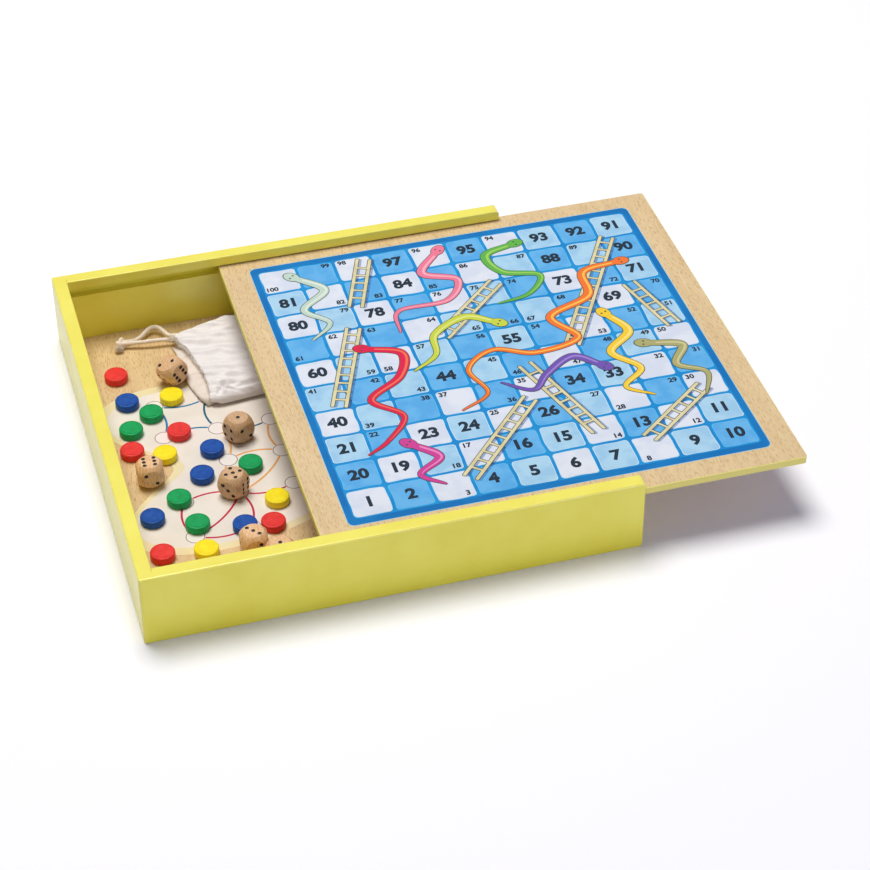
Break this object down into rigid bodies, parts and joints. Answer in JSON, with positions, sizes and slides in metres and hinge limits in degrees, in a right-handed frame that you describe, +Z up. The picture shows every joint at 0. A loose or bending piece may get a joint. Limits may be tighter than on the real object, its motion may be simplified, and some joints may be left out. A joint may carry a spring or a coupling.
{
  "type": "games compendium box",
  "caption": "Square wooden games box with a sliding board lid running in grooves, holding loose counters, dice and a cotton drawstring bag.",
  "frame": {"origin": "middle of the box's underside, below the centre of the four walls", "axes": "+X the way the lid opens, +Y to the back, +Z up; shown with the lid slid part of the way open"},
  "size_m": [0.4033, 0.3, 0.049],
  "materials": {
    "painted_walls": "satin yellow paint",
    "floor_ply": "clear lacquer, printed",
    "lid_ply": "clear lacquer, printed",
    "counter_red": "gloss lacquer",
    "counter_blue": "gloss lacquer",
    "counter_green": "gloss lacquer",
    "counter_yellow": "gloss lacquer",
    "dice_wood": "bare, tumbled",
    "bag_cotton": "matt, plain weave",
    "cord_cotton": "matt, twisted"
  },
  "bodies": {
    "box": {"wall_front": "painted_walls", "wall_back": "painted_walls", "wall_left": "painted_walls", "wall_right": "painted_walls", "floor_panel": "floor_ply"},
    "lid": {"lid": "lid_ply"},
    "counter_red_1": {"counter_red_1": "counter_red"},
    "counter_red_2": {"counter_red_2": "counter_red"},
    "counter_red_3": {"counter_red_3": "counter_red"},
    "counter_red_4": {"counter_red_4": "counter_red"},
    "counter_red_5": {"counter_red_5": "counter_red"},
    "counter_blue_1": {"counter_blue_1": "counter_blue"},
    "counter_blue_2": {"counter_blue_2": "counter_blue"},
    "counter_blue_3": {"counter_blue_3": "counter_blue"},
    "counter_blue_4": {"counter_blue_4": "counter_blue"},
    "counter_blue_5": {"counter_blue_5": "counter_blue"},
    "counter_green_1": {"counter_green_1": "counter_green"},
    "counter_green_2": {"counter_green_2": "counter_green"},
    "counter_green_3": {"counter_green_3": "counter_green"},
    "counter_green_4": {"counter_green_4": "counter_green"},
    "counter_green_5": {"counter_green_5": "counter_green"},
    "counter_yellow_1": {"counter_yellow_1": "counter_yellow"},
    "counter_yellow_2": {"counter_yellow_2": "counter_yellow"},
    "counter_yellow_3": {"counter_yellow_3": "counter_yellow"},
    "counter_yellow_4": {"counter_yellow_4": "counter_yellow"},
    "die_1": {"die_1": "dice_wood"},
    "die_2": {"die_2": "dice_wood"},
    "die_3": {"die_3": "dice_wood"},
    "die_4": {"die_4": "dice_wood"},
    "die_5": {"die_5": "dice_wood"},
    "die_6": {"die_6": "dice_wood"},
    "bag": {"bag": "bag_cotton", "cord_front": "cord_cotton", "cord_back": "cord_cotton", "cord_knot": "cord_cotton"}
  },
  "joints": [
    {"name": "lid_slide", "type": "slide", "parent": "box", "child": "lid", "axis": [1, 0, 0], "range_m": [-0.1038, 0.2]},
    {"name": "counter_red_1_lift", "type": "slide", "parent": "box", "child": "counter_red_1", "axis": [0, 0, 1], "range_m": [0, 0.05]},
    {"name": "counter_red_2_lift", "type": "slide", "parent": "box", "child": "counter_red_2", "axis": [0, 0, 1], "range_m": [0, 0.05]},
    {"name": "counter_red_3_lift", "type": "slide", "parent": "box", "child": "counter_red_3", "axis": [0, 0, 1], "range_m": [0, 0.05]},
    {"name": "counter_red_4_lift", "type": "slide", "parent": "box", "child": "counter_red_4", "axis": [0, 0, 1], "range_m": [0, 0.05]},
    {"name": "counter_red_5_lift", "type": "slide", "parent": "box", "child": "counter_red_5", "axis": [0, 0, 1], "range_m": [0, 0.05]},
    {"name": "counter_blue_1_lift", "type": "slide", "parent": "box", "child": "counter_blue_1", "axis": [0, 0, 1], "range_m": [0, 0.05]},
    {"name": "counter_blue_2_lift", "type": "slide", "parent": "box", "child": "counter_blue_2", "axis": [0, 0, 1], "range_m": [0, 0.05]},
    {"name": "counter_blue_3_lift", "type": "slide", "parent": "box", "child": "counter_blue_3", "axis": [0, 0, 1], "range_m": [0, 0.05]},
    {"name": "counter_blue_4_lift", "type": "slide", "parent": "box", "child": "counter_blue_4", "axis": [0, 0, 1], "range_m": [0, 0.05]},
    {"name": "counter_blue_5_lift", "type": "slide", "parent": "box", "child": "counter_blue_5", "axis": [0, 0, 1], "range_m": [0, 0.05]},
    {"name": "counter_green_1_lift", "type": "slide", "parent": "box", "child": "counter_green_1", "axis": [0, 0, 1], "range_m": [0, 0.05]},
    {"name": "counter_green_2_lift", "type": "slide", "parent": "box", "child": "counter_green_2", "axis": [0, 0, 1], "range_m": [0, 0.05]},
    {"name": "counter_green_3_lift", "type": "slide", "parent": "box", "child": "counter_green_3", "axis": [0, 0, 1], "range_m": [0, 0.05]},
    {"name": "counter_green_4_lift", "type": "slide", "parent": "box", "child": "counter_green_4", "axis": [0, 0, 1], "range_m": [0, 0.05]},
    {"name": "counter_green_5_lift", "type": "slide", "parent": "box", "child": "counter_green_5", "axis": [0, 0, 1], "range_m": [0, 0.05]},
    {"name": "counter_yellow_1_lift", "type": "slide", "parent": "box", "child": "counter_yellow_1", "axis": [0, 0, 1], "range_m": [0, 0.05]},
    {"name": "counter_yellow_2_lift", "type": "slide", "parent": "box", "child": "counter_yellow_2", "axis": [0, 0, 1], "range_m": [0, 0.05]},
    {"name": "counter_yellow_3_lift", "type": "slide", "parent": "box", "child": "counter_yellow_3", "axis": [0, 0, 1], "range_m": [0, 0.05]},
    {"name": "counter_yellow_4_lift", "type": "slide", "parent": "box", "child": "counter_yellow_4", "axis": [0, 0, 1], "range_m": [0, 0.05]},
    {"name": "die_1_lift", "type": "slide", "parent": "box", "child": "die_1", "axis": [0, 0, 1], "range_m": [0, 0.05]},
    {"name": "die_2_lift", "type": "slide", "parent": "box", "child": "die_2", "axis": [0, 0, 1], "range_m": [0, 0.05]},
    {"name": "die_3_lift", "type": "slide", "parent": "box", "child": "die_3", "axis": [0, 0, 1], "range_m": [0, 0.05]},
    {"name": "die_4_lift", "type": "slide", "parent": "box", "child": "die_4", "axis": [0, 0, 1], "range_m": [0, 0.05]},
    {"name": "die_5_lift", "type": "slide", "parent": "box", "child": "die_5", "axis": [0, 0, 1], "range_m": [0, 0.05]},
    {"name": "die_6_lift", "type": "slide", "parent": "box", "child": "die_6", "axis": [0, 0, 1], "range_m": [0, 0.05]},
    {"name": "bag_slide", "type": "slide", "parent": "box", "child": "bag", "axis": [1, 0, 0], "range_m": [0, 0.08]}
  ]
}
